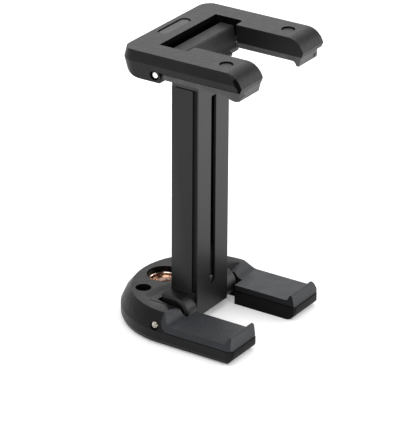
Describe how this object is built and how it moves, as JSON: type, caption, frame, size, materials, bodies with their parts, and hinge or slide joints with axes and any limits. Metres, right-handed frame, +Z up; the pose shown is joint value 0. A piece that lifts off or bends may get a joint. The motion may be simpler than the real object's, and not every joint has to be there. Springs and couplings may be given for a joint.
{
  "type": "tripod phone mount adapter",
  "caption": "Folding spring-loaded phone clamp: forked base with tripod thread, telescoping slotted stem and hinged forked upper jaw with rubber grips.",
  "frame": {"origin": "axis of the tripod thread where it meets the underside of the base", "axes": "+Z up along the stem, away from the tripod; -Y the way both pairs of arms reach from the stem; +X across the clamp, along both hinge pins"},
  "size_m": [0.0348, 0.0363, 0.0638],
  "materials": {
    "black_plastic": "matt, fine grain",
    "slide_plastic": "smooth",
    "rubber": "soft matt",
    "black_metal": "satin black",
    "satin_metal": "satin charcoal",
    "slider_steel": "blackened",
    "inlay_metal": "satin",
    "thread_metal": "machined",
    "bright_steel": "bright",
    "spring_steel": "drawn wire"
  },
  "bodies": {
    "base": {"base_housing": "black_plastic", "thread_insert": "thread_metal", "lower_grip_left": "rubber", "lower_grip_right": "rubber", "lower_hinge_pin": "bright_steel"},
    "stem": {"stem_body": "black_metal", "front_plate": "satin_metal", "stem_collar": "black_plastic", "lower_spring_pin": "bright_steel", "return_spring": "spring_steel"},
    "slider": {"slider_bar": "slider_steel", "slider_head": "black_plastic", "guide_shoe": "slide_plastic", "guide_peg": "bright_steel", "upper_spring_pin": "bright_steel"},
    "upper_jaw": {"upper_jaw_shell": "black_plastic", "upper_grip_left": "rubber", "upper_grip_right": "rubber", "grip_plug_left": "rubber", "grip_plug_right": "rubber", "upper_hinge_pin": "bright_steel", "bar_inlay": "inlay_metal"}
  },
  "joints": [
    {"name": "stem_fold", "type": "hinge", "parent": "base", "child": "stem", "pos_m": [0, -0.0089, 0.00405], "axis": [1, 0, 0], "range_deg": [0, 90]},
    {"name": "clamp_slide", "type": "slide", "parent": "stem", "child": "slider", "axis": [0, 0, 1], "range_m": [0, 0.037], "stiffness_N_per_m": 240, "springref_m": -0.02, "deforming": ["return_spring"]},
    {"name": "jaw_fold", "type": "hinge", "parent": "slider", "child": "upper_jaw", "pos_m": [0, -0.008, 0.0593], "axis": [1, 0, 0], "range_deg": [0, 90]}
  ]
}
